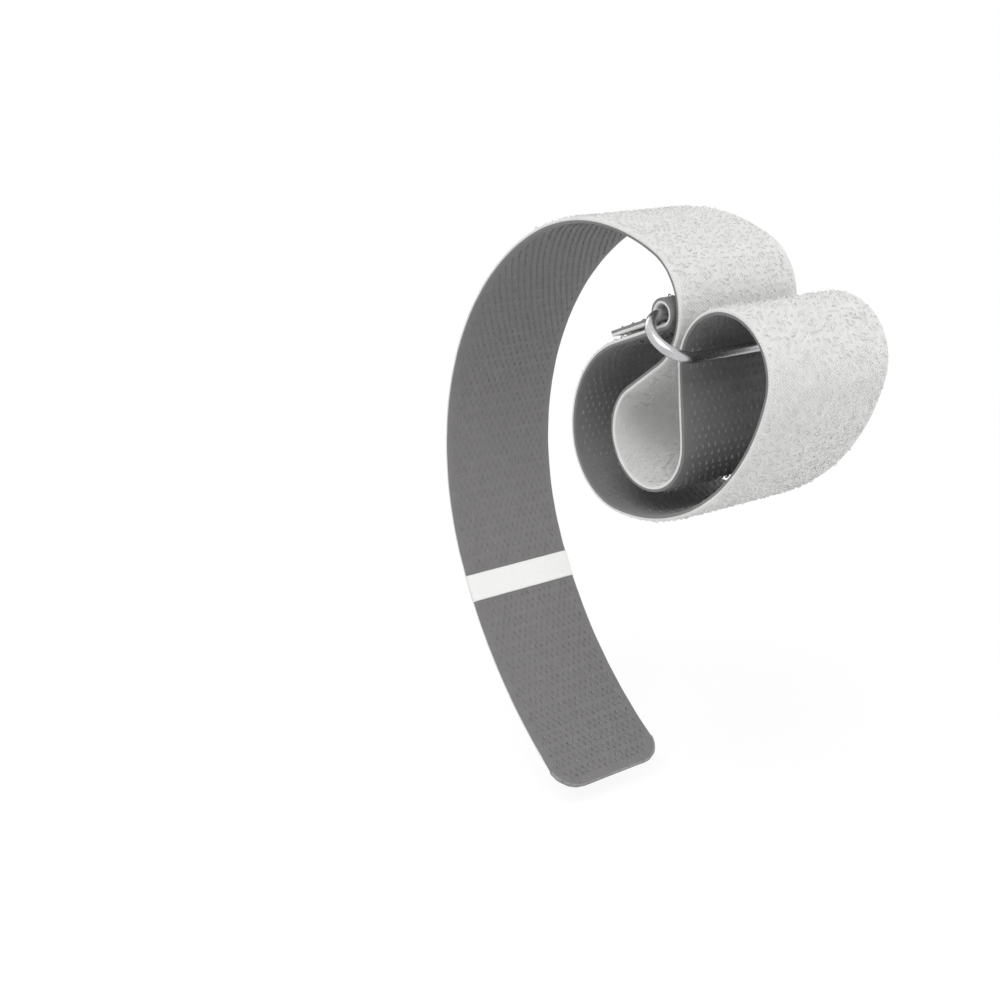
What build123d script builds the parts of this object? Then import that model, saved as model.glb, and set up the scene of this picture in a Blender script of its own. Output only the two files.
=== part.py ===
from build123d import *
from math import acos, cos, degrees, pi, radians, sin
import os

os.makedirs("parts", exist_ok=True)

# Frame: millimetres, +Z up, X across the strap.  The origin is on the axis of the
# cable seat, at the middle of the strap's width.

# ---- strap
strap_width = 25.0          # standard tape width
face_thickness = 0.8        # one tape; the strap is two tapes back to back
corner_radius = 5.0         # rounded corners at the free end
patch_length = 42.5         # hook patch, from the free end to the marker band
band_width = 5.5            # marker band across the strap
band_proud = 0.12           # marker band over the tape beside it
band_overhang = 0.0         # marker band past each edge

# ---- seat round the cable, and the run on each side of it
seat_radius = 7.7           # inside face, on the cable
seat_end = 422.0            # angle on the seat where the tail side leaves
seat_turn = 240.0
tail_rise = 9.1             # straight run up through the ring
crook_radius = 10.0         # the strap turns outwards above the ring
crook_angle = 121.0
shoulder_radius, shoulder_angle = 38.8, 50.0
coil_radius, coil_angle = 51.6, 88.0
end_radius, end_angle = 77.5, 38.0

# ---- fold over the front wire and outer loop
fold_rise = 11.6
fold_radius, fold_angle = 9.3, 198.0
front_radius, front_angle = 32.5, 80.2
under_radius, under_angle = 12.2, 84.4
back_radius, back_angle = 16.7, 71.8

# ---- wire ring
wire_diameter = 1.8
ring_pitch = 9.4            # back wire centre to front wire centre
ring_straight = strap_width - 0.6
ring_lean = 223.0           # direction of the front wire seen from the back wire
wire_clearance = 0.3        # strap to back wire, all round

# ---- eye sewn round the back wire
flap_length = 9.0           # sewn part of the flap
flap_turn_radius = 2.5
thread = 0.5                # thread thickness
stitch_pitch = 2.5
stitch_rows = 2
row_spacing = 4.0
stitch_edge = 2.5           # first and last hole to the strap's edge

strap_thickness = 2 * face_thickness
seat_line = seat_radius + face_thickness
wire_radius = wire_diameter / 2
eye_line = wire_radius + wire_clearance + face_thickness
# the eye closes on the strap where the flap's inner face meets the strap's face
close_cos = (strap_thickness + flap_turn_radius - eye_line) / (flap_turn_radius + eye_line)
close_angle = degrees(acos(close_cos))
close_run = (flap_turn_radius + eye_line) * sin(radians(close_angle))
sewn_run = close_run + flap_length


# A pose is (y, z, heading in degrees).  A move is (radius, turn) for an arc, left
# turns positive, or (None, length) for a straight run.
def shifted(pose, offset):
    """Point beside a pose, left of travel when the offset is positive."""
    y, z, heading = pose
    return (y - offset * sin(radians(heading)), z + offset * cos(radians(heading)))


def advance(pose, move):
    """Pose at the far end of one move."""
    y, z, heading = pose
    radius, amount = move
    if radius is None:
        return (y + amount * cos(radians(heading)), z + amount * sin(radians(heading)), heading)
    side = 1 if amount > 0 else -1
    centre = shifted(pose, side * radius)
    end = heading + amount
    return (centre[0] + side * radius * sin(radians(end)),
            centre[1] - side * radius * cos(radians(end)), end)


def travel(pose, moves):
    for move in moves:
        pose = advance(pose, move)
    return pose


def draw(pose, moves, offset):
    """Edges of the moves, shifted sideways; returns the first and last point."""
    first = shifted(pose, offset)
    for move in moves:
        radius, amount = move
        start = shifted(pose, offset)
        heading = radians(pose[2])
        pose = advance(pose, move)
        if radius is None:
            Line(start, shifted(pose, offset))
        else:
            side = 1 if amount > 0 else -1
            JernArc(start, (cos(heading), sin(heading)), radius - side * offset, amount)
    return first, shifted(pose, offset)


def ribbon(pose, moves, right, left):
    """Profile between two offsets of the moves."""
    with BuildSketch(Plane.YZ) as profile:
        with BuildLine():
            a, b = draw(pose, moves, right)
            c, d = draw(pose, moves, left)
            Line(a, c)
            Line(b, d)
        make_face()
    return profile.sketch


half = strap_width / 2
seat_pose = (seat_line * cos(radians(seat_end)), seat_line * sin(radians(seat_end)), seat_end - 270.0)
away_pose = (seat_pose[0], seat_pose[1], seat_pose[2] + 180.0)

patch_angle = degrees(patch_length / end_radius)
band_angle = degrees(band_width / end_radius)
tail_moves = [(None, tail_rise), (crook_radius, -crook_angle),
              (shoulder_radius, -shoulder_angle), (coil_radius, -coil_angle)]
lead_moves = tail_moves + [(end_radius, -(end_angle - patch_angle - band_angle))]
full_moves = tail_moves + [(end_radius, -end_angle)]
eye_moves = [(seat_line, -seat_turn), (None, fold_rise), (fold_radius, fold_angle),
             (front_radius, front_angle), (under_radius, under_angle),
             (back_radius, back_angle), (None, sewn_run)]
wrap_moves = [(eye_line, -(180.0 + close_angle)), (flap_turn_radius, close_angle),
              (None, flap_length)]

band_pose = travel(seat_pose, lead_moves)
patch_pose = advance(band_pose, (end_radius, -band_angle))
tail_pose = travel(seat_pose, full_moves)
wrap_pose = travel(away_pose, eye_moves)
flap_pose = travel(wrap_pose, wrap_moves)
back_wire = shifted(wrap_pose, -eye_line)
front_wire = (back_wire[0] + ring_pitch * cos(radians(ring_lean)),
              back_wire[1] + ring_pitch * sin(radians(ring_lean)))

# ---- end rounding: the corner pieces to take off the free end
tail_plane = Plane(origin=(0, tail_pose[0], tail_pose[1]), x_dir=(1, 0, 0),
                   z_dir=(0, -sin(radians(tail_pose[2])), cos(radians(tail_pose[2]))))
with BuildPart() as corners:
    with BuildSketch(tail_plane) as corner_shape:
        with Locations((0, -2)):
            Rectangle(strap_width + 2, 2 * corner_radius + 4)
        with Locations((0, -2 * corner_radius)):
            RectangleRounded(strap_width, 4 * corner_radius, corner_radius, mode=Mode.SUBTRACT)
    extrude(amount=6.0, both=True)

# ---- stitches: each row is one thread, over the flap, through, and under the strap
stitch_count = int((strap_width - 2 * stitch_edge) / stitch_pitch)
sewn_plane = Plane(origin=(0, flap_pose[0], flap_pose[1]), x_dir=(1, 0, 0),
                   z_dir=(0, -sin(radians(flap_pose[2])), cos(radians(flap_pose[2]))))
with BuildPart() as eye_stitching:
    top = face_thickness + thread / 2
    low = -(strap_thickness + face_thickness + thread / 2)
    for row in range(stitch_rows):
        along = -(2.5 + row * row_spacing)
        first = -stitch_count * stitch_pitch / 2
        for i in range(stitch_count + 1):
            x = first + i * stitch_pitch
            with Locations(sewn_plane * Location((x, along, (top + low) / 2))):
                Box(thread, thread, top - low + thread)
            if i < stitch_count:
                for level in (top, low):
                    with Locations(sewn_plane * Location((x + stitch_pitch / 2, along, level))):
                        Box(stitch_pitch, thread, thread)
eye_stitching.part.label = "eye_stitching"

# ---- tapes
with BuildPart() as loop_tape:
    extrude(ribbon(seat_pose, full_moves, 0, face_thickness), amount=half, both=True)
    extrude(ribbon(away_pose, eye_moves, -face_thickness, 0), amount=half, both=True)
    extrude(ribbon(wrap_pose, wrap_moves, -face_thickness, 0), amount=half, both=True)
    add(corners.part, mode=Mode.SUBTRACT)
    add(eye_stitching.part, mode=Mode.SUBTRACT)
loop_tape.part.label = "loop_tape"

with BuildPart() as hook_tape:
    extrude(ribbon(seat_pose, lead_moves, -face_thickness, 0), amount=half, both=True)
    extrude(ribbon(away_pose, eye_moves, 0, face_thickness), amount=half, both=True)
    extrude(ribbon(wrap_pose, wrap_moves, 0, face_thickness), amount=half, both=True)
    add(eye_stitching.part, mode=Mode.SUBTRACT)
hook_tape.part.label = "hook_tape"

with BuildPart() as marker_band:
    extrude(ribbon(band_pose, [(end_radius, -band_angle)], -face_thickness - band_proud, 0),
            amount=half + band_overhang, both=True)
marker_band.part.label = "marker_band"

with BuildPart() as hook_patch:
    extrude(ribbon(patch_pose, [(end_radius, -patch_angle)], -face_thickness, 0),
            amount=half, both=True)
    add(corners.part, mode=Mode.SUBTRACT)
hook_patch.part.label = "hook_patch"

# ---- ring: round wire, two straight runs and two half-circle ends
with BuildPart() as wire_ring:
    middle = ((back_wire[0] + front_wire[0]) / 2, (back_wire[1] + front_wire[1]) / 2)
    ring_plane = Plane(origin=(0, middle[0], middle[1]), x_dir=(1, 0, 0),
                       z_dir=(0, -sin(radians(ring_lean)), cos(radians(ring_lean))))
    with BuildLine(ring_plane) as ring_path:
        a = Line((-ring_straight / 2, ring_pitch / 2), (ring_straight / 2, ring_pitch / 2))
        b = ThreePointArc(a @ 1, (ring_straight / 2 + ring_pitch / 2, 0),
                          (ring_straight / 2, -ring_pitch / 2))
        c = Line(b @ 1, (-ring_straight / 2, -ring_pitch / 2))
        ThreePointArc(c @ 1, (-ring_straight / 2 - ring_pitch / 2, 0), a @ 0)
    with BuildSketch(Plane(origin=a @ 0, z_dir=a % 0)) as wire_section:
        Circle(wire_radius)
    sweep()
wire_ring.part.label = "wire_ring"

for item in (loop_tape, hook_tape, marker_band, hook_patch, eye_stitching, wire_ring):
    export_step(item.part, "parts/" + item.part.label + ".step")
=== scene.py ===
from math import acos, ceil, cos, degrees, hypot, pi, radians, sin, sqrt

import bmesh
import bpy
from bpy.props import FloatProperty, FloatVectorProperty, IntProperty, PointerProperty
from mathutils import Matrix, Vector, noise


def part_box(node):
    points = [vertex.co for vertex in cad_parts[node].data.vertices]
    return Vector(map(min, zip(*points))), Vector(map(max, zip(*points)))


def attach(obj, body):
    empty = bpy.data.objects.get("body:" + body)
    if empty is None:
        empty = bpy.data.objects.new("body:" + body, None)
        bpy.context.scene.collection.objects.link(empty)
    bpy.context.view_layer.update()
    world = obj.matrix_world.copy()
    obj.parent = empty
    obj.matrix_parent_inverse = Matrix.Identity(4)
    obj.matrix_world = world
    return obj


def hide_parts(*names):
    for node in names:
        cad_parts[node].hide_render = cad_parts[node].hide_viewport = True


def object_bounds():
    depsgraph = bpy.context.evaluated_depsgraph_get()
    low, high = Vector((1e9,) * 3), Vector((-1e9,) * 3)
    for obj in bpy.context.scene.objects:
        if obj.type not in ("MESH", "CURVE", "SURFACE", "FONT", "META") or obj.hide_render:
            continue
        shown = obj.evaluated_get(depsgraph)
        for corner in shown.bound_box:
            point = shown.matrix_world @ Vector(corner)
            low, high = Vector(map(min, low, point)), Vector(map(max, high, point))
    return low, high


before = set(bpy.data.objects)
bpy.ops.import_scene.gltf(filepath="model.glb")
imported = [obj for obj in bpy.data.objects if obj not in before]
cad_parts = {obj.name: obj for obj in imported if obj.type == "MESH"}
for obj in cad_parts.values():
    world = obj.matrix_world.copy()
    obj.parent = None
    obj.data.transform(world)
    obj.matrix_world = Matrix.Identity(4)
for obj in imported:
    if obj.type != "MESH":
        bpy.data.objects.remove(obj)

bl_info = {
    "name": "Hook and Loop Cable Tie",
    "version": (1, 0, 0),
    "blender": (4, 5, 0),
    "location": "3D View > Sidebar > Cable Tie",
    "description": "Builds a two-faced fabric cable tie with its wire ring, pile, hooks and stitches",
    "category": "Object",
}

CAD_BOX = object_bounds()
MM = 0.001


# ------------------------------------------------------------------ properties

class TieStrapProps(bpy.types.PropertyGroup):
    width: FloatProperty(
        name="Strap Width", description="Width of both tapes", default=0.025,
        min=0.005, unit="LENGTH", subtype="DISTANCE")
    ground: FloatProperty(
        name="Ground Cloth", description="One tape without its hooks or pile",
        default=0.00048, unit="LENGTH", subtype="DISTANCE")
    corner: FloatProperty(
        name="Corner Radius", description="Rounding of the free end",
        default=0.005, unit="LENGTH", subtype="DISTANCE")
    selvedge: FloatProperty(
        name="Selvedge", description="Bare woven border beside the hooks",
        default=0.0012, unit="LENGTH", subtype="DISTANCE")
    patch: FloatProperty(
        name="Patch Length", description="Hook patch at the free end",
        default=0.0425, unit="LENGTH", subtype="DISTANCE")
    band: FloatProperty(
        name="Marker Band", description="Length of the white band along the strap",
        default=0.0055, unit="LENGTH", subtype="DISTANCE")
    band_proud: FloatProperty(
        name="Band Height", description="White band above the strap's middle",
        default=0.00090, unit="LENGTH", subtype="DISTANCE")


class TiePileProps(bpy.types.PropertyGroup):
    loop_pitch: FloatProperty(
        name="Loop Pitch", description="Spacing of the pile loops",
        default=0.00105, unit="LENGTH", subtype="DISTANCE")
    loop_height: FloatProperty(
        name="Loop Height", description="Height of the pile over its ground cloth",
        default=0.00036, unit="LENGTH", subtype="DISTANCE")
    hook_pitch: FloatProperty(
        name="Hook Pitch", description="Spacing of the hooks",
        default=0.00140, unit="LENGTH", subtype="DISTANCE")
    hook_height: FloatProperty(
        name="Hook Height", description="Height of the hooks over their ground cloth",
        default=0.00038, unit="LENGTH", subtype="DISTANCE")
    seed: IntProperty(name="Seed", description="Fixes the pile's random lean", default=7)


class TieRingProps(bpy.types.PropertyGroup):
    wire: FloatProperty(
        name="Wire Diameter", description="Ring wire", default=0.0018,
        unit="LENGTH", subtype="DISTANCE")
    pitch: FloatProperty(
        name="Wire Spacing", description="Back wire centre to front wire centre",
        default=0.0094, unit="LENGTH", subtype="DISTANCE")
    lean: FloatProperty(
        name="Ring Lean", description="Direction of the front wire from the back wire",
        default=radians(223.0), unit="ROTATION", subtype="ANGLE")
    weld: FloatProperty(
        name="Weld Collar", description="Height of the weld over the wire",
        default=0.00016, unit="LENGTH", subtype="DISTANCE")


class TieColourProps(bpy.types.PropertyGroup):
    light: FloatVectorProperty(
        name="Loop Face", description="Light grey nylon", subtype="COLOR", size=3,
        default=(0.68, 0.68, 0.67), min=0.0, max=1.0)
    dark: FloatVectorProperty(
        name="Hook Face", description="Dark grey nylon", subtype="COLOR", size=3,
        default=(0.185, 0.180, 0.180), min=0.0, max=1.0)
    white: FloatVectorProperty(
        name="Marker Band", description="White band", subtype="COLOR", size=3,
        default=(0.76, 0.76, 0.75), min=0.0, max=1.0)
    steel: FloatVectorProperty(
        name="Ring", description="Plated steel wire", subtype="COLOR", size=3,
        default=(0.54, 0.54, 0.55), min=0.0, max=1.0)


class TieStageProps(bpy.types.PropertyGroup):
    aim: FloatVectorProperty(
        name="Camera Aim", description="Point that the camera looks at",
        default=(-0.03434, 0.01072, -0.0075), size=3, unit="LENGTH", subtype="TRANSLATION")
    azimuth: FloatProperty(
        name="Camera Azimuth", description="Turn of the camera round the tie",
        default=radians(-32.94), unit="ROTATION", subtype="ANGLE")
    elevation: FloatProperty(
        name="Camera Elevation", description="Height angle of the camera",
        default=radians(12.54), unit="ROTATION", subtype="ANGLE")
    roll: FloatProperty(
        name="Camera Roll", description="Tilt of the picture", default=radians(-5.0),
        unit="ROTATION", subtype="ANGLE")
    distance: FloatProperty(
        name="Camera Distance", description="Camera to the point it looks at", default=0.2069,
        unit="LENGTH", subtype="DISTANCE")
    lens: FloatProperty(name="Lens", description="Focal length", default=46.8, unit="CAMERA")


SETTINGS = (("tie_strap", TieStrapProps), ("tie_pile", TiePileProps),
            ("tie_ring", TieRingProps), ("tie_colour", TieColourProps),
            ("tie_stage", TieStageProps))


def settings(name):
    return getattr(bpy.context.scene, name)


# ------------------------------------------------------- the strap's own path
# A pose is (y, z, heading).  A move is (radius, turn) for an arc, left turns
# positive, or (None, length) for a straight run.  Millimetres and degrees.

TAPE = 0.8                        # one tape; the strap is two, back to back
SEAT_LINE = 7.7 + TAPE            # cable seat to the line between the tapes
EYE_LINE = 0.9 + 0.3 + TAPE       # ring wire, its clearance and one tape
SEAT_END = 422.0                  # angle on the seat where the tail side leaves
FLAP = 9.0                        # flap that is sewn down
FLAP_TURN = 2.5                   # bend between the eye and the flap
CLOSE = degrees(acos((2 * TAPE + FLAP_TURN - EYE_LINE) / (FLAP_TURN + EYE_LINE)))
SEWN = (FLAP_TURN + EYE_LINE) * sin(radians(CLOSE)) + FLAP
TAIL_SIDE = [(None, 9.1), (10.0, -121.0), (38.8, -50.0), (51.6, -88.0), (77.5, -38.0)]
EYE_SIDE = [(SEAT_LINE, -240.0), (None, 11.6), (9.3, 198.0), (32.5, 80.2), (12.2, 84.4),
            (16.7, 71.8), (None, SEWN), (EYE_LINE, -(180.0 + CLOSE)), (FLAP_TURN, CLOSE),
            (None, FLAP)]


def shifted(pose, offset):
    y, z, heading = pose
    return (y - offset * sin(radians(heading)), z + offset * cos(radians(heading)))


def advance(pose, move, share=1.0):
    y, z, heading = pose
    radius, amount = move[0], move[1] * share
    if radius is None:
        return (y + amount * cos(radians(heading)), z + amount * sin(radians(heading)), heading)
    side = 1 if move[1] > 0 else -1
    cy, cz = shifted(pose, side * radius)
    end = heading + amount
    return (cy + side * radius * sin(radians(end)), cz - side * radius * cos(radians(end)), end)


def length_of(move):
    return move[1] if move[0] is None else move[0] * radians(abs(move[1]))


def strap_path():
    """Start pose at the free end and the moves to the eye's flap."""
    angle = radians(SEAT_END)
    pose = (SEAT_LINE * cos(angle), SEAT_LINE * sin(angle), SEAT_END - 270.0)
    for move in TAIL_SIDE:
        pose = advance(pose, move)
    back = [(m[0], m[1] if m[0] is None else -m[1]) for m in reversed(TAIL_SIDE)]
    return (pose[0], pose[1], pose[2] + 180.0), back + EYE_SIDE


START, MOVES = strap_path()
TOTAL = sum(length_of(m) for m in MOVES)


def at(s):
    """Pose at a distance along the strap, in mm from the free end."""
    pose = START
    for move in MOVES:
        run = length_of(move)
        if s <= run + 1e-9:
            return advance(pose, move, max(s, 0.0) / run)
        pose, s = advance(pose, move), s - run
    return pose


def place(s, x, height):
    """A point on the strap: along, across, and above the dark face's side, in mm."""
    y, z = shifted(at(s), height)
    return Vector((x * MM, y * MM, z * MM))


LONGEST_STEP = 1.5
WIDEST_TURN = 4.0


def marks(s0, s1, extra):
    """Distances along the strap, close together where it bends sharply."""
    out, base = {round(s0, 4), round(s1, 4)}, 0.0
    for move in MOVES:
        run = length_of(move)
        turn = 0.0 if move[0] is None else abs(move[1])
        n = max(1, ceil(run / LONGEST_STEP), ceil(turn / WIDEST_TURN))
        for i in range(n + 1):
            s = base + run * i / n
            if s0 + 0.05 < s < s1 - 0.05:
                out.add(round(s, 4))
        base += run
    for s in extra:
        if s0 < s < s1:
            out.add(round(s, 4))
    return sorted(out)


def half_width(s, width, corner):
    """Half the strap's width, drawn in round the corners of the free end."""
    if s >= corner:
        return width / 2
    return width / 2 - corner + sqrt(max(corner * corner - (corner - s) ** 2, 0.0))


# ------------------------------------------------------------------ mesh tools

def new_object(name, mesh, body):
    piece = bpy.data.objects.new(name, mesh)
    bpy.context.scene.collection.objects.link(piece)
    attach(piece, body)
    return piece


def shell(name, rings, uvs, edges):
    """A closed skin through rings of points, capped at both ends."""
    verts = [p for ring in rings for p in ring]
    n, faces = len(rings[0]), []
    for i in range(len(rings) - 1):
        for j in range(n):
            k = (j + 1) % n
            faces.append((i * n + j, i * n + k, (i + 1) * n + k, (i + 1) * n + j))
    faces.append(tuple(range(n - 1, -1, -1)))
    faces.append(tuple((len(rings) - 1) * n + j for j in range(n)))
    mesh = bpy.data.meshes.new(name)
    mesh.from_pydata(verts, [], faces)
    flat_uv = [uv for row in uvs for uv in row]
    layer = mesh.uv_layers.new(name="strap_uv")
    for loop in mesh.loops:
        layer.data[loop.index].uv = flat_uv[loop.vertex_index]
    rim = mesh.attributes.new("to_edge", "FLOAT", "POINT")
    rim.data.foreach_set("value", [e for row in edges for e in row])
    outward(mesh)
    mesh.polygons.foreach_set("use_smooth", [True] * len(mesh.polygons))
    mesh.set_sharp_from_angle(angle=radians(50))
    return mesh


def outward(mesh):
    b = bmesh.new()
    b.from_mesh(mesh)
    bmesh.ops.recalc_face_normals(b, faces=b.faces)
    b.to_mesh(mesh)
    b.free()


def wander(s, x, scale, salt):
    """Smooth unevenness between -1 and 1."""
    return noise.noise(Vector((s * scale, x * scale, salt)))


MIDDLE = 0.01                     # the tapes stop this short of each other
RIB_PITCH = 0.4                   # warp ribs of the bare border
ROUNDED = 0.16                    # rounding of the tape's cut edge


def cloth(name, s0, s1, side, salt, rib):
    """One tape's ground cloth: side is -1 for the light face, 1 for the dark one."""
    strap = settings("tie_strap")
    width, corner, border = strap.width / MM, strap.corner / MM, strap.selvedge / MM
    low, high, inner = MIDDLE, strap.ground / MM, border + 0.25
    rings, uvs, edges = [], [], []
    fine = [corner * (1 - cos(pi / 2 * i / 10)) for i in range(11)]
    across = [0.0, 0.05, ROUNDED, 0.36, 0.56, 0.76, 0.96, border, inner]
    for s in marks(s0, s1, fine):
        half = half_width(s, width, corner) + 0.05 * wander(s, 0, 0.35, salt)
        outer = []
        for d in across:
            lift = 1.0 - 0.35 * max(0.0, 1.0 - d / ROUNDED) ** 2
            ribs = rib * cos(2 * pi * d / RIB_PITCH) if 0.1 < d < border else 0.0
            outer.append((d, lift * high + ribs))
        outer += [(inner + (half - inner) * i / 5, high) for i in range(1, 6)]
        left = [(-half + d, h) for d, h in outer]
        right = [(half - d, h) for d, h in reversed(outer[:-1])]
        top = [(x, h + 0.025 * wander(s, x, 0.6, salt + 3)) for x, h in left + right]
        loop = top + [(x, low) for x in (half - 0.03, half / 2, 0.0, -half / 2, -half + 0.03)]
        rings.append([place(s, x, side * h) for x, h in loop])
        uvs.append([(x, s) for x, h in loop])
        end = min(s, TOTAL - s)
        edges.append([min(half - abs(x), end) for x, h in loop])
    return shell(name, rings, uvs, edges)


def stations(name, s0, s1, step, side, lift, along_x=False):
    """Points down the middle of one face; each carries the way out and along."""
    n = max(1, round((s1 - s0) / step))
    points, out, way, end, row = [], [], [], [], []
    for i in range(n):
        s = s0 + (s1 - s0) * (i + 0.5) / n
        heading = radians(at(s)[2])
        points.append(place(s, 0.0, side * lift))
        out.append((0.0, -sin(heading) * side, cos(heading) * side))
        way.append((1.0, 0.0, 0.0) if along_x else (0.0, cos(heading), sin(heading)))
        end.append(s * MM)
        row.append(float(i % 2))
    mesh = bpy.data.meshes.new(name)
    mesh.from_pydata(points, [], [])
    for label, rows in (("facing", out), ("along", way)):
        a = mesh.attributes.new(label, "FLOAT_VECTOR", "POINT")
        a.data.foreach_set("vector", [c for v in rows for c in v])
    for label, values in (("from_end", end), ("row", row)):
        a = mesh.attributes.new(label, "FLOAT", "POINT")
        a.data.foreach_set("value", values)
    return mesh


# -------------------------------------------------------------- geometry nodes

class Nodes:
    """Adds linked nodes to a tree."""
    t = None

    def add(self, kind, links, out=0, **props):
        n = self.t.nodes.new(kind)
        for key, value in props.items():
            setattr(n, key, value)
        for key, value in links.items():
            if isinstance(value, bpy.types.NodeSocket):
                self.t.links.new(value, n.inputs[key])
            else:
                n.inputs[key].default_value = value
        return n.outputs[out]

    def math(self, how, a, b=0.0):
        return self.add("ShaderNodeMath", {0: a, 1: b}, operation=how)


class Tree(Nodes):
    """A geometry node group with named inputs."""

    def __init__(self, name, inputs):
        self.t = bpy.data.node_groups.new(name, "GeometryNodeTree")
        face = self.t.interface
        face.new_socket("Geometry", in_out="INPUT", socket_type="NodeSocketGeometry")
        for label, kind, value in inputs:
            sock = face.new_socket(label, in_out="INPUT", socket_type="NodeSocket" + kind)
            if value is not None:
                sock.default_value = value
        face.new_socket("Geometry", in_out="OUTPUT", socket_type="NodeSocketGeometry")
        self.i = self.t.nodes.new("NodeGroupInput")
        self.o = self.t.nodes.new("NodeGroupOutput")

    def get(self, label):
        return self.i.outputs[label]

    def random(self, low, high, seed):
        return self.add("FunctionNodeRandomValue", {2: low, 3: high, 8: seed}, out=1,
                        data_type="FLOAT")

    def read(self, label, kind="FLOAT"):
        return self.add("GeometryNodeInputNamedAttribute", {"Name": label}, data_type=kind)


def fibre_tree():
    """Rows of bent fibres across a strap, at each point of the incoming mesh."""
    if "Fibre Rows" in bpy.data.node_groups:
        return bpy.data.node_groups["Fibre Rows"]
    g = Tree("Fibre Rows", (
        ("Count Across", "Int", 16), ("Pitch Across", "Float", 0.001),
        ("Foot", "Vector", None), ("Crown", "Vector", None), ("Tip", "Vector", None),
        ("Thickness", "Float", 0.0001), ("Sides", "Int", 3), ("Steps", "Int", 5),
        ("Lean", "Float", 0.2), ("Turn", "Float", 0.2), ("Alternate", "Float", 0.0),
        ("Small", "Float", 0.85), ("Large", "Float", 1.15), ("Scatter", "Float", 0.0001),
        ("Stagger", "Float", 0.5), ("Half Width", "Float", 0.0125),
        ("Corner", "Float", 0.005), ("Border", "Float", 0.0003),
        ("Seed", "Int", 7), ("Material", "Material", None)))
    seed = g.get("Seed")
    seeds = [g.math("ADD", seed, float(k)) for k in range(1, 9)]
    pitch = g.get("Pitch Across")
    row = g.read("row")
    shift = g.math("MULTIPLY", g.math("SUBTRACT", row, 0.5), pitch)
    shift = g.math("MULTIPLY", shift, g.get("Stagger"))
    shift = g.add("ShaderNodeCombineXYZ", {0: shift})
    spread = g.add("GeometryNodeSetPosition", {"Geometry": g.get("Geometry"), "Offset": shift})
    count = g.get("Count Across")
    first = g.math("MULTIPLY", g.math("SUBTRACT", count, 1.0), g.math("MULTIPLY", pitch, -0.5))
    line = g.add("GeometryNodeMeshLine", {
        "Count": count, "Start Location": g.add("ShaderNodeCombineXYZ", {0: first}),
        "Offset": g.add("ShaderNodeCombineXYZ", {0: pitch})}, mode="OFFSET")
    rows = g.add("GeometryNodeInstanceOnPoints", {"Points": spread, "Instance": line})
    rows = g.add("GeometryNodeRealizeInstances", {"Geometry": rows})
    # scatter across and along
    loose = g.get("Scatter")
    across = g.math("MULTIPLY", g.random(-1.0, 1.0, seeds[0]), loose)
    down = g.math("MULTIPLY", g.random(-1.0, 1.0, seeds[1]), loose)
    along = g.read("along", "FLOAT_VECTOR")
    step = g.add("ShaderNodeVectorMath", {0: along, "Scale": down}, operation="SCALE")
    step = g.add("ShaderNodeVectorMath", {0: step, 1: g.add("ShaderNodeCombineXYZ", {0: across})},
                 operation="ADD")
    rows = g.add("GeometryNodeSetPosition", {"Geometry": rows, "Offset": step})
    # nothing outside the rounded corners of the free end
    position = g.add("GeometryNodeInputPosition", {})
    x = g.add("ShaderNodeSeparateXYZ", {0: position})
    corner = g.get("Corner")
    dx = g.math("MAXIMUM", g.math("SUBTRACT", g.math("ABSOLUTE", x),
                                  g.math("SUBTRACT", g.get("Half Width"), corner)), 0.0)
    dy = g.math("MAXIMUM", g.math("SUBTRACT", corner, g.read("from_end")), 0.0)
    reach = g.add("ShaderNodeVectorMath", {0: g.add("ShaderNodeCombineXYZ", {0: dx, 1: dy})},
                  out=1, operation="LENGTH")
    outside = g.math("GREATER_THAN", reach, g.math("SUBTRACT", corner, g.get("Border")))
    rows = g.add("GeometryNodeDeleteGeometry", {"Geometry": rows, "Selection": outside})
    # one fibre
    fibre = g.add("GeometryNodeCurveQuadraticBezier", {
        "Resolution": g.get("Steps"), "Start": g.get("Foot"), "Middle": g.get("Crown"),
        "End": g.get("Tip")})
    ring = g.add("GeometryNodeCurvePrimitiveCircle", {
        "Resolution": g.get("Sides"), "Radius": g.math("MULTIPLY", g.get("Thickness"), 0.5)})
    fibre = g.add("GeometryNodeCurveToMesh", {"Curve": fibre, "Profile Curve": ring,
                                              "Fill Caps": True})
    turn = g.add("FunctionNodeAxesToRotation", {
        "Primary Axis": g.read("facing", "FLOAT_VECTOR"), "Secondary Axis": along},
        primary_axis="Z", secondary_axis="X")
    lean = g.get("Lean")
    wild = g.get("Turn")
    flip = g.math("MULTIPLY", g.math("MULTIPLY", row, pi), g.get("Alternate"))
    euler = g.add("ShaderNodeCombineXYZ", {
        0: g.math("MULTIPLY", g.random(-1.0, 1.0, seeds[2]), lean),
        1: g.math("MULTIPLY", g.random(-1.0, 1.0, seeds[3]), lean),
        2: g.math("ADD", flip, g.math("MULTIPLY", g.random(-1.0, 1.0, seeds[4]), wild))})
    local = g.add("FunctionNodeEulerToRotation", {0: euler})
    turn = g.add("FunctionNodeRotateRotation", {"Rotation": turn, "Rotate By": local},
                 rotation_space="LOCAL")
    size = g.random(g.get("Small"), g.get("Large"), seeds[5])
    grown = g.add("GeometryNodeInstanceOnPoints", {
        "Points": rows, "Instance": fibre, "Rotation": turn, "Scale": size})
    grown = g.add("GeometryNodeStoreNamedAttribute", {
        "Geometry": grown, "Name": "shade", "Value": g.random(0.0, 1.0, seeds[6])},
        data_type="FLOAT", domain="INSTANCE")
    grown = g.add("GeometryNodeRealizeInstances", {"Geometry": grown})
    grown = g.add("GeometryNodeSetShadeSmooth", {"Geometry": grown})
    grown = g.add("GeometryNodeSetMaterial", {"Geometry": grown, "Material": g.get("Material")})
    g.t.links.new(grown, g.o.inputs[0])
    return g.t


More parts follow.
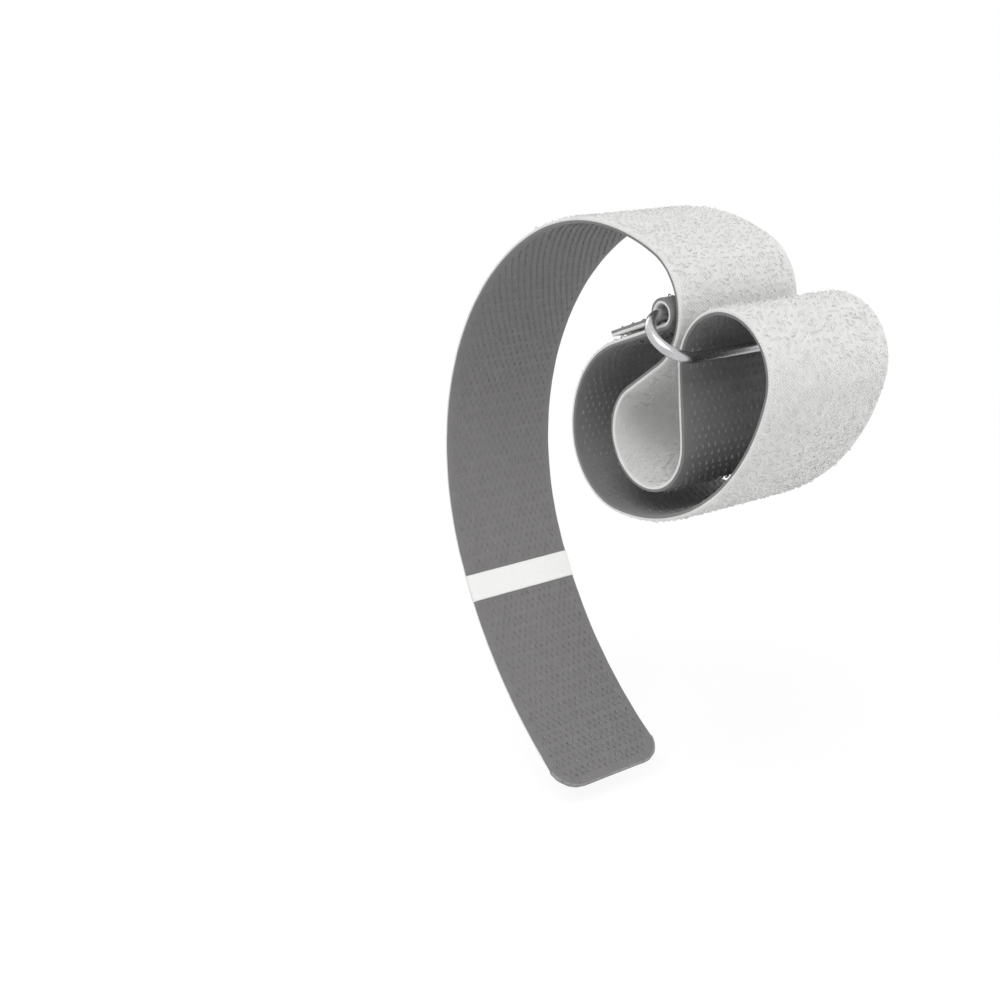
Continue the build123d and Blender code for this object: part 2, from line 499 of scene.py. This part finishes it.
def grow(name, seeds, body, values):
    """Runs the fibre tree over a mesh of stations and keeps the plain result."""
    tree = fibre_tree()
    holder = bpy.data.objects.new(name + "_rows", seeds)
    bpy.context.scene.collection.objects.link(holder)
    mod = holder.modifiers.new("Fibre Rows", "NODES")
    mod.node_group = tree
    idents = {i.name: i.identifier for i in tree.interface.items_tree
              if i.item_type == "SOCKET" and i.in_out == "INPUT"}
    for key, value in values.items():
        mod[idents[key]] = value
    bpy.context.view_layer.update()
    ready = holder.evaluated_get(bpy.context.evaluated_depsgraph_get())
    mesh = bpy.data.meshes.new_from_object(ready)
    mesh.name = name
    holder.modifiers.clear()
    bpy.data.objects.remove(holder)
    if not mesh.polygons:
        raise RuntimeError(name + " came out empty")
    return new_object(name, mesh, body)


# ------------------------------------------------------------------- materials

class Finish(Nodes):
    """A procedural material; every pattern is drawn from nodes."""

    def __init__(self, name, **fixed):
        material = bpy.data.materials.new(name)
        material.use_nodes = True
        self.t = material.node_tree
        self.shader = self.t.nodes["Principled BSDF"]
        for key, value in fixed.items():
            self.shader.inputs[key.replace("_", " ")].default_value = value

    def uv(self):
        """Across and along the strap, in millimetres."""
        flat = self.add("ShaderNodeUVMap", {}, uv_map="strap_uv")
        split = self.t.nodes.new("ShaderNodeSeparateXYZ")
        self.t.links.new(flat, split.inputs[0])
        return flat, split.outputs[0], split.outputs[1]

    def place(self):
        return self.add("ShaderNodeTexCoord", {}, out=3)

    def noise(self, vector, scale, detail=3.0, rough=0.55):
        return self.add("ShaderNodeTexNoise", {"Vector": vector, "Scale": scale, "Detail": detail,
                                               "Roughness": rough})

    def ramp(self, value, low, high, a, b):
        """Value mapped from low-high to a-b."""
        return self.add("ShaderNodeMapRange", {0: value, 1: low, 2: high, 3: a, 4: b})

    def tint(self, colour, factor):
        """A colour times a varying factor."""
        return self.add("ShaderNodeVectorMath", {0: colour, 3: factor}, operation="SCALE")

    def bump(self, height, distance, strength=1.0, normal=None):
        links = {"Height": height, "Distance": distance, "Strength": strength}
        if normal is not None:
            links["Normal"] = normal
        return self.add("ShaderNodeBump", links)

    def link(self, socket, value):
        self.t.links.new(value, self.shader.inputs[socket])


def finish_for(name, maker):
    if name not in bpy.data.materials:
        maker(name)
    return bpy.data.materials[name]


def woven_ground(name, colour, warp, weft, sheen, depth):
    """Plain woven nylon: warp and weft in millimetres, sealed along its cut edges, with painted shade
    in the weave's hollows.
    """
    f = Finish(name, Roughness=0.75, Sheen_Weight=sheen, Sheen_Roughness=0.5,
               Specular_IOR_Level=0.3)
    flat, x, y = f.uv()
    a = f.math("SINE", f.math("MULTIPLY", x, 2 * pi / warp))
    b = f.math("SINE", f.math("MULTIPLY", y, 2 * pi / weft))
    over = f.math("MULTIPLY", a, b)
    thread = f.math("ADD", f.math("MULTIPLY", f.math("ABSOLUTE", a), 0.5),
                    f.math("MULTIPLY", over, 0.5))
    fuzz = f.noise(flat, 9.0, 4.0, 0.7)
    blotch = f.noise(flat, 0.35, 3.0, 0.6)
    rim = f.add("ShaderNodeAttribute", {}, out=2, attribute_name="to_edge")
    melt = f.ramp(rim, 0.05, 0.45, 1.0, 0.0)
    melt = f.math("MULTIPLY", melt, f.ramp(f.noise(flat, 1.6), 0.3, 0.7, 0.5, 1.0))
    # painted shade: thread tops lighter and the hollows between threads darker, from the weave's
    # height; fuzz and blotch vary at random
    tone = f.math("ADD", f.ramp(thread, -0.5, 1.0, 0.80, 1.06), f.ramp(fuzz, 0.2, 0.8, -0.05, 0.05))
    tone = f.math("ADD", tone, f.ramp(blotch, 0.3, 0.7, -0.05, 0.05))
    tone = f.math("SUBTRACT", tone, f.math("MULTIPLY", melt, 0.10))
    f.link("Base Color", f.tint(tuple(colour), tone))
    f.link("Roughness", f.math("SUBTRACT", 0.80, f.math("MULTIPLY", melt, 0.34)))
    weave = f.math("MULTIPLY", thread, f.math("SUBTRACT", 1.0, f.math("MULTIPLY", melt, 0.8)))
    n = f.bump(weave, depth)
    n = f.bump(fuzz, depth * 0.5, 1.0, n)
    f.link("Normal", n)


def loop_cloth(name):
    c = settings("tie_colour")
    woven_ground(name, c.light, 0.62, 0.50, 0.35, 0.00009)


def hook_cloth(name):
    c = settings("tie_colour")
    woven_ground(name, c.dark, 0.50, 0.42, 0.20, 0.00008)


def fibre_finish(name, colour, spread, rough, sheen):
    f = Finish(name, Roughness=rough, Sheen_Weight=sheen, Sheen_Roughness=0.4,
               Specular_IOR_Level=0.35)
    shade = f.add("ShaderNodeAttribute", {}, out=2, attribute_name="shade")
    patch = f.noise(f.place(), 160.0, 2.0)
    tone = f.math("ADD", f.ramp(shade, 0.0, 1.0, 1.0 - spread, 1.0 + spread),
                  f.ramp(patch, 0.3, 0.7, -0.04, 0.04))
    f.link("Base Color", f.tint(tuple(colour), tone))
    f.link("Roughness", f.ramp(shade, 0.0, 1.0, rough + 0.08, rough - 0.08))


def pile_finish(name):
    fibre_finish(name, settings("tie_colour").light, 0.10, 0.60, 0.30)


def hook_finish(name):
    # painted highlight: the hooks are the dark nylon of their ground cloth, brightened 1.22 times so
    # that they stand out
    fibre_finish(name, [min(1.0, 1.22 * v) for v in settings("tie_colour").dark], 0.14, 0.34, 0.10)


def thread_finish(name):
    f = Finish(name, Roughness=0.5, Sheen_Weight=0.25, Sheen_Roughness=0.4)
    twist = f.add("ShaderNodeTexWave", {"Vector": f.place(), "Scale": 900.0, "Distortion": 1.5},
                  out=1, bands_direction="DIAGONAL")
    shade = f.add("ShaderNodeAttribute", {}, out=2, attribute_name="shade")
    # painted shade: the twist's grooves darker and its ridges lighter, from the same wave as the
    # bump; the shade attribute varies at random
    tone = f.math("ADD", f.ramp(twist, 0.0, 1.0, 0.75, 1.12), f.ramp(shade, 0.0, 1.0, -0.05, 0.05))
    f.link("Base Color", f.tint((0.235, 0.232, 0.232), tone))
    f.link("Normal", f.bump(twist, 0.00006))


def band_finish(name):
    c = settings("tie_colour")
    f = Finish(name, Roughness=0.5, Specular_IOR_Level=0.4, Sheen_Weight=0.1)
    flat, x, y = f.uv()
    ribs = f.math("SINE", f.math("MULTIPLY", x, 2 * pi / 0.33))
    cross = f.math("SINE", f.math("MULTIPLY", y, 2 * pi / 0.33))
    grain = f.noise(flat, 7.0, 4.0)
    weave = f.math("MULTIPLY", ribs, cross)
    # painted shade: the weave's low points a little darker, from the same value as the bump; the
    # grain's tone varies at random
    tone = f.math("ADD", f.ramp(grain, 0.3, 0.7, 0.96, 1.02), f.ramp(weave, -1.0, 1.0, -0.03, 0.015))
    f.link("Base Color", f.tint(tuple(c.white), tone))
    f.link("Roughness", f.ramp(grain, 0.2, 0.8, 0.42, 0.60))
    f.link("Normal", f.bump(weave, 0.00003, 0.8, f.bump(grain, 0.00003)))


def steel_finish(name):
    c = settings("tie_colour")
    f = Finish(name, Metallic=1.0, Roughness=0.24)
    flat = f.uv()[0]
    stretched = f.add("ShaderNodeMapping", {0: flat, 3: (3.0, 0.35, 1.0)})
    drawn = f.noise(stretched, 5.0, 5.0, 0.65)
    place = f.place()
    cloud = f.noise(place, 420.0, 3.0)
    specks = f.noise(place, 2600.0, 2.0, 0.7)
    pits = f.ramp(specks, 0.66, 0.74, 0.0, 1.0)
    weld = f.add("ShaderNodeAttribute", {}, out=2, attribute_name="weld")
    tone = f.math("ADD", f.ramp(cloud, 0.3, 0.7, 0.90, 1.04), f.math("MULTIPLY", pits, -0.14))
    tone = f.math("SUBTRACT", tone, f.math("MULTIPLY", weld, 0.32))
    f.link("Base Color", f.tint(tuple(c.steel), tone))
    rough = f.math("ADD", f.ramp(drawn, 0.25, 0.75, 0.15, 0.32), f.math("MULTIPLY", pits, 0.2))
    f.link("Roughness", f.math("ADD", rough, f.math("MULTIPLY", weld, 0.2)))
    f.link("Normal", f.bump(drawn, 0.000012, 0.7, f.bump(cloud, 0.00002, 0.5)))


def seal_finish(name):
    f = Finish(name, Roughness=0.38, Specular_IOR_Level=0.5)
    lump = f.noise(f.place(), 900.0, 3.0)
    f.link("Base Color", f.tint((0.20, 0.195, 0.195), f.ramp(lump, 0.3, 0.7, 0.75, 1.25)))
    f.link("Normal", f.bump(lump, 0.00008))


def floor_finish(name):
    f = Finish(name, Base_Color=(0.9, 0.9, 0.9, 1.0), Roughness=0.9, Specular_IOR_Level=0.1)
    speck = f.noise(f.place(), 30.0, 3.0)
    f.link("Roughness", f.ramp(speck, 0.3, 0.7, 0.85, 0.95))
    glow = f.t.nodes.new("ShaderNodeEmission")
    glow.inputs[0].default_value = (1.0, 1.0, 1.0, 1.0)
    path = f.t.nodes.new("ShaderNodeLightPath")
    seen = f.math("MAXIMUM", path.outputs["Is Camera Ray"], path.outputs["Is Glossy Ray"])
    reach = f.add("ShaderNodeVectorMath", {0: f.place()}, out=1, operation="LENGTH")
    seen = f.math("MULTIPLY", seen, f.ramp(reach, 0.15, 0.5, 0.82, 1.0))
    mix = f.add("ShaderNodeMixShader", {0: seen, 1: f.shader.outputs[0], 2: glow.outputs[0]})
    f.t.links.new(mix, f.t.nodes["Material Output"].inputs[0])


# ------------------------------------------------------------------- operators

class TIE_OT_loop_face(bpy.types.Operator):
    """Light face: ground cloth of the full strap and its loop pile"""
    bl_idname = "tie.loop_face"
    bl_label = "Loop Face"

    def execute(self, context):
        strap, pile = settings("tie_strap"), settings("tie_pile")
        mesh = cloth("loop_ground", 0.0, TOTAL, -1, 1.7, 0.012)
        ground = new_object("loop_ground", mesh, "strap")
        mesh.materials.append(finish_for("loop_ground_cloth", loop_cloth))
        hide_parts("loop_tape")
        half = TOTAL / 2
        h, w = pile.loop_height, 0.00085
        for k, (s0, s1) in enumerate(((0.3, half), (half, TOTAL - 0.3))):
            seeds = stations("pile_seed", s0, s1, pile.loop_pitch / MM, -1, strap.ground / MM - 0.04)
            tuft = grow("loop_pile_%d" % (k + 1), seeds, "strap", {
                "Count Across": int(strap.width / pile.loop_pitch),
                "Pitch Across": pile.loop_pitch,
                "Foot": (-w / 2, 0.0, 0.0), "Crown": (0.0, 0.0001, 2 * h), "Tip": (w / 2, 0.0, 0.0),
                "Thickness": 0.00015, "Sides": 3, "Steps": 4, "Lean": 0.55, "Turn": 3.14,
                "Small": 0.75, "Large": 1.1, "Scatter": 0.00038, "Half Width": strap.width / 2,
                "Corner": strap.corner, "Border": 0.00045, "Seed": pile.seed + k,
                "Material": finish_for("loop_pile_fibre", pile_finish)})
        return {"FINISHED"}


class TIE_OT_hook_face(bpy.types.Operator):
    """Dark face: ground cloth and moulded hooks, from the band to the eye's flap"""
    bl_idname = "tie.hook_face"
    bl_label = "Hook Face"

    def execute(self, context):
        strap = settings("tie_strap")
        s0 = (strap.patch + strap.band) / MM
        self.part("hook_ground", "hook_rows", s0, TOTAL, "hook_tape", 3.1)
        return {"FINISHED"}

    @staticmethod
    def part(name, rows, s0, s1, slot, salt):
        strap, pile = settings("tie_strap"), settings("tie_pile")
        mesh = cloth(name, s0, s1, 1, salt, 0.02)
        ground = new_object(name, mesh, "strap")
        mesh.materials.append(finish_for("hook_ground_cloth", hook_cloth))
        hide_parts(slot)
        h, reach = pile.hook_height, 0.00042
        start = s0 + (strap.selvedge / MM if s0 < 1.0 else 0.4)
        seeds = stations("hook_seed", start, s1 - 0.5, pile.hook_pitch / MM, 1,
                         strap.ground / MM - 0.03)
        count = int((strap.width - 2 * strap.selvedge) / pile.hook_pitch)
        hooks = grow(rows, seeds, "strap", {
            "Count Across": count, "Pitch Across": pile.hook_pitch,
            "Foot": (-reach * 0.3, 0.0, 0.0), "Crown": (0.0, 0.0, 1.75 * h),
            "Tip": (reach, 0.0, 0.40 * h), "Thickness": 0.00023, "Sides": 4, "Steps": 5,
            "Lean": 0.08, "Turn": 0.22, "Alternate": 1.0, "Small": 0.9, "Large": 1.05,
            "Scatter": 0.00006, "Half Width": strap.width / 2, "Corner": strap.corner,
            "Border": strap.selvedge, "Seed": pile.seed + 20,
            "Material": finish_for("hook_fibre", hook_finish)})


class TIE_OT_hook_patch(bpy.types.Operator):
    """Hook patch at the free end, with the end's heat-sealed rim"""
    bl_idname = "tie.hook_patch"
    bl_label = "Hook Patch"

    def execute(self, context):
        strap = settings("tie_strap")
        TIE_OT_hook_face.part("patch_ground", "patch_rows", 0.0, strap.patch / MM, "hook_patch", 5.3)
        rim = self.rim(strap.width / MM, strap.corner / MM)
        return {"FINISHED"}

    @staticmethod
    def rim(width, corner):
        """A bead of melted nylon round the free end and a little way up both edges."""
        inset, beyond = 0.06, 3.0
        left = []
        for i in range(25):
            s = corner * (1 - sin(pi / 2 * i / 24))
            left.append((-half_width(s, width, corner) + inset, s + inset))
        left = [(left[0][0], corner + beyond)] + left
        middle = [(x, inset) for x in (-5.0, -2.5, 0.0, 2.5, 5.0)]
        line = left + middle + [(-x, s) for x, s in reversed(left)]
        curve = bpy.data.curves.new("sealed_rim", "CURVE")
        curve.dimensions = "3D"
        curve.bevel_depth = 0.00042
        curve.bevel_resolution = 4
        curve.use_fill_caps = True
        path = curve.splines.new("POLY")
        path.points.add(len(line) - 1)
        for i, (x, s) in enumerate(line):
            path.points[i].co = (*place(s, x, 0.05 * wander(s, x, 0.8, 9.0)), 1.0)
            fade = min(i, len(line) - 1 - i) / 4.0
            path.points[i].radius = min(1.0, 0.25 + fade) * (1.0 + 0.22 * wander(s, x, 0.9, 2.0))
        holder = bpy.data.objects.new("rim_line", curve)
        bpy.context.scene.collection.objects.link(holder)
        bpy.context.view_layer.update()
        ready = holder.evaluated_get(bpy.context.evaluated_depsgraph_get())
        mesh = bpy.data.meshes.new_from_object(ready)
        bpy.data.objects.remove(holder)
        mesh.name = "sealed_rim"
        mesh.polygons.foreach_set("use_smooth", [True] * len(mesh.polygons))
        mesh.materials.clear()
        mesh.materials.append(finish_for("melted_nylon", seal_finish))
        return new_object("sealed_rim", mesh, "strap")


class TIE_OT_marker_band(bpy.types.Operator):
    """White welded band across the dark face"""
    bl_idname = "tie.marker_band"
    bl_label = "Marker Band"

    def execute(self, context):
        strap = settings("tie_strap")
        s0 = strap.patch / MM
        s1 = s0 + strap.band / MM
        half = strap.width / MM / 2
        rings, uvs, edges = [], [], []
        rows, steps = 40, 120
        for i in range(rows + 1):
            s = s0 + (s1 - s0) * i / rows
            edge = min(s - s0, s1 - s)
            loop = []
            for j in range(steps + 1):
                x = -half + 2 * half * j / steps
                top = strap.band_proud / MM - self.sunk(x, s - s0, edge, half - abs(x))
                loop.append((x, top + 0.012 * wander(s, x, 0.8, 6.0)))
            loop += [(x, 2 * MIDDLE) for x in (half, 0.0, -half)]
            rings.append([place(s, x, h) for x, h in loop])
            uvs.append([(x, s) for x, h in loop])
            edges.append([half - abs(x) for x, h in loop])
        mesh = shell("white_band", rings, uvs, edges)
        band = new_object("white_band", mesh, "strap")
        mesh.materials.append(finish_for("white_band_weld", band_finish))
        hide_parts("marker_band")
        return {"FINISHED"}

    @staticmethod
    def sunk(x, s, edge, side):
        """How far the rounded edges and the weld's dimples lie below the band's top."""
        rounded = 0.16 * max(0.0, 1 - edge / 0.25) ** 2 + 0.25 * max(0.0, 1 - side / 0.3) ** 2
        if edge <= 0.7:
            return rounded
        across, along = cos(2 * pi * x / 1.25), cos(2 * pi * (s - 2) / 1.3)
        return rounded + 0.05 * max(0.0, across) * max(0.0, along)


class TIE_OT_eye_stitches(bpy.types.Operator):
    """Rows of lockstitch that hold the eye's flap, seen on both sides"""
    bl_idname = "tie.eye_stitches"
    bl_label = "Eye Stitches"

    def execute(self, context):
        strap = settings("tie_strap")
        thread = finish_for("sewing_thread", thread_finish)
        lift = strap.ground / MM + 0.02
        pitch, rows = 2.5, (2.5, 6.5)
        reach = (pitch / 2 - 0.07) * MM
        # the flap's outer face, and the strap's face under it
        under = TOTAL - FLAP - length_of(MOVES[-2]) - length_of(MOVES[-3]) - SEWN
        for face, lines in (("over", [TOTAL - r for r in rows]),
                            ("under", [under + r for r in rows])):
            for row, s in enumerate(lines):
                seeds = stations("stitch_seed", s - 0.5, s + 0.5, 1.0, 1, lift, along_x=True)
                grow("stitches_%s_%d" % (face, row + 1), seeds, "strap", {
                    "Count Across": 8, "Pitch Across": pitch * MM,
                    "Foot": (-reach, 0.0, -0.0003), "Crown": (0.0, 0.0, 0.00085),
                    "Tip": (reach, 0.0, -0.0003), "Thickness": 0.00045, "Sides": 10, "Steps": 12,
                    "Lean": 0.03, "Turn": 0.05, "Small": 0.98, "Large": 1.02, "Scatter": 0.00004,
                    "Stagger": 0.0, "Half Width": strap.width / 2, "Corner": strap.corner,
                    "Border": 0.001, "Seed": 40 + row, "Material": thread})
        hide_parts("eye_stitching")
        return {"FINISHED"}


class TIE_OT_ring(bpy.types.Operator):
    """Oval ring of bent round wire with its welded joint"""
    bl_idname = "tie.ring"
    bl_label = "Wire Ring"

    def execute(self, context):
        ring, strap = settings("tie_ring"), settings("tie_strap")
        low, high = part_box("wire_ring")
        centre = Vector((0.0, (low[1] + high[1]) / 2, (low[2] + high[2]) / 2))
        inward = Vector((0.0, cos(ring.lean), sin(ring.lean)))
        across = Vector((1.0, 0.0, 0.0))
        straight, bend = strap.width / 2 - 0.3 * MM, ring.pitch / 2
        weld_at, weld_reach = 1.0 * MM - straight, 0.9 * MM
        line, steps = [], 48
        for side in (1, -1):
            for i in range(steps):
                line.append((side * (-straight + 2 * straight * i / steps), -side * bend))
            for i in range(steps):
                a = -pi / 2 + pi * i / steps
                line.append((side * (straight + bend * cos(a)), side * bend * sin(a)))
        n, around = len(line), 32
        up = across.cross(inward)
        verts, rows, weld, run = [], [], [], 0.0
        for i, (u, v) in enumerate(line):
            before, after = line[i - 1], line[(i + 1) % n]
            t = (across * (after[0] - before[0]) + inward * (after[1] - before[1])).normalized()
            side = t.cross(up)
            if i:
                run += hypot(u - before[0], v - before[1])
            joint = max(0.0, 1.0 - abs(u - weld_at) / weld_reach) if v < 0 else 0.0
            joint = joint * joint * (3 - 2 * joint)
            for k in range(around):
                a = 2 * pi * k / around
                r = ring.wire / 2 + joint * ring.weld * (1 + 0.4 * wander(k * 2.0, u / MM, 0.5, 4.0))
                verts.append(centre + across * u + inward * v + (side * cos(a) + up * sin(a)) * r)
                weld.append(joint)
            rows.append(run / MM)
        rows.append(run / MM + 0.5)
        faces = [(i * around + k, i * around + (k + 1) % around,
                  ((i + 1) % n) * around + (k + 1) % around, ((i + 1) % n) * around + k)
                 for i in range(n) for k in range(around)]
        mesh = bpy.data.meshes.new("ring_wire")
        mesh.from_pydata(verts, [], faces)
        layer = mesh.uv_layers.new(name="strap_uv")
        for face in mesh.polygons:
            i, k = divmod(face.index, around)
            left, right = 2 * pi * k / around, 2 * pi * (k + 1) / around
            corners = ((left, rows[i]), (right, rows[i]), (right, rows[i + 1]), (left, rows[i + 1]))
            for loop, value in zip(face.loop_indices, corners):
                layer.data[loop].uv = value
        mesh.attributes.new("weld", "FLOAT", "POINT").data.foreach_set("value", weld)
        outward(mesh)
        mesh.polygons.foreach_set("use_smooth", [True] * len(mesh.polygons))
        piece = new_object("ring_wire", mesh, "ring")
        mesh.materials.append(finish_for("plated_steel_wire", steel_finish))
        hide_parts("wire_ring")
        return {"FINISHED"}


class TIE_OT_stage(bpy.types.Operator):
    """Floor, soft lights, background and camera"""
    bl_idname = "tie.stage"
    bl_label = "Stage"
    drop = 0.004
    floor_reach = 6.0

    def execute(self, context):
        scene = context.scene
        level = CAD_BOX[0][2] - self.drop
        size = self.floor_reach
        mesh = bpy.data.meshes.new("floor")
        mesh.from_pydata([(-size, -size, level), (size, -size, level), (size, size, level),
                          (-size, size, level)], [], [(0, 1, 2, 3)])
        mesh.materials.append(finish_for("pale_floor", floor_finish))
        floor = bpy.data.objects.new("floor", mesh)
        scene.collection.objects.link(floor)
        self.lights(scene)
        self.camera(scene)
        scene.view_settings.view_transform = "Standard"
        return {"FINISHED"}

    @staticmethod
    def lights(scene):
        aim = Vector((0.0, 0.015, -0.015))
        for name, at_, power, width in (("key", (-0.42, -0.38, 0.62), 4.6, 0.5),
                                        ("fill", (0.55, -0.45, 0.25), 1.7, 0.7),
                                        ("back", (0.15, 0.65, 0.45), 2.0, 0.6)):
            data = bpy.data.lights.new(name, "AREA")
            data.energy, data.size = power, width
            lamp = bpy.data.objects.new(name, data)
            lamp.location = at_
            lamp.rotation_euler = (aim - Vector(at_)).to_track_quat("-Z", "Y").to_euler()
            scene.collection.objects.link(lamp)
        world = bpy.data.worlds.new("studio")
        scene.world = world
        world.use_nodes = True
        t = world.node_tree
        base = t.nodes["Background"]
        base.inputs[0].default_value = (1.0, 1.0, 1.0, 1.0)
        base.inputs[1].default_value = 0.62
        white = t.nodes.new("ShaderNodeBackground")
        white.inputs[0].default_value = (1.0, 1.0, 1.0, 1.0)
        white.inputs[1].default_value = 1.0
        path = t.nodes.new("ShaderNodeLightPath")
        mix = t.nodes.new("ShaderNodeMixShader")
        seen = t.nodes.new("ShaderNodeMath")
        seen.operation = "MAXIMUM"
        t.links.new(path.outputs["Is Camera Ray"], seen.inputs[0])
        t.links.new(path.outputs["Is Glossy Ray"], seen.inputs[1])
        t.links.new(seen.outputs[0], mix.inputs[0])
        t.links.new(base.outputs[0], mix.inputs[1])
        t.links.new(white.outputs[0], mix.inputs[2])
        t.links.new(mix.outputs[0], t.nodes["World Output"].inputs[0])

    @staticmethod
    def camera(scene):
        p = settings("tie_stage")
        a, e, r = p.azimuth, p.elevation, p.roll
        look = Vector((-sin(a) * cos(e), cos(a) * cos(e), -sin(e)))
        right = Vector((cos(a), sin(a), 0.0))
        up = right.cross(look)
        right, up = right * cos(r) + up * sin(r), up * cos(r) - right * sin(r)
        place_at = Vector(p.aim) - look * p.distance
        data = bpy.data.cameras.new("camera")
        data.lens, data.sensor_width = p.lens, 36.0
        data.clip_start, data.clip_end = 0.005, 20.0
        eye = bpy.data.objects.new("camera", data)
        rows = Matrix((right, up, -look)).transposed()
        eye.matrix_world = Matrix.Translation(place_at) @ rows.to_4x4()
        scene.collection.objects.link(eye)
        scene.camera = eye


STEPS = (TIE_OT_loop_face, TIE_OT_hook_face, TIE_OT_hook_patch, TIE_OT_marker_band,
         TIE_OT_eye_stitches, TIE_OT_ring, TIE_OT_stage)


class TIE_PT_panel(bpy.types.Panel):
    """Lists the tie's pieces"""
    bl_idname = "TIE_PT_panel"
    bl_label = "Cable Tie"
    bl_space_type = "VIEW_3D"
    bl_region_type = "UI"
    bl_category = "Cable Tie"

    def draw(self, context):
        for name, kind in SETTINGS:
            box = self.layout.box()
            for key in kind.__annotations__:
                box.prop(getattr(context.scene, name), key)
        for step in STEPS:
            self.layout.operator(step.bl_idname)


CLASSES = tuple(kind for name, kind in SETTINGS) + STEPS + (TIE_PT_panel,)


def register():
    for cls in CLASSES:
        bpy.utils.register_class(cls)
    for name, kind in SETTINGS:
        setattr(bpy.types.Scene, name, PointerProperty(type=kind))


def unregister():
    for name, kind in SETTINGS:
        delattr(bpy.types.Scene, name)
    for cls in reversed(CLASSES):
        bpy.utils.unregister_class(cls)


def main():
    register()
    for step in STEPS:
        group, name = step.bl_idname.split(".")
        if getattr(getattr(bpy.ops, group), name)() != {"FINISHED"}:
            raise RuntimeError(step.bl_label + " didn't finish")
    bpy.context.view_layer.update()


if __name__ == "__main__":
    main()
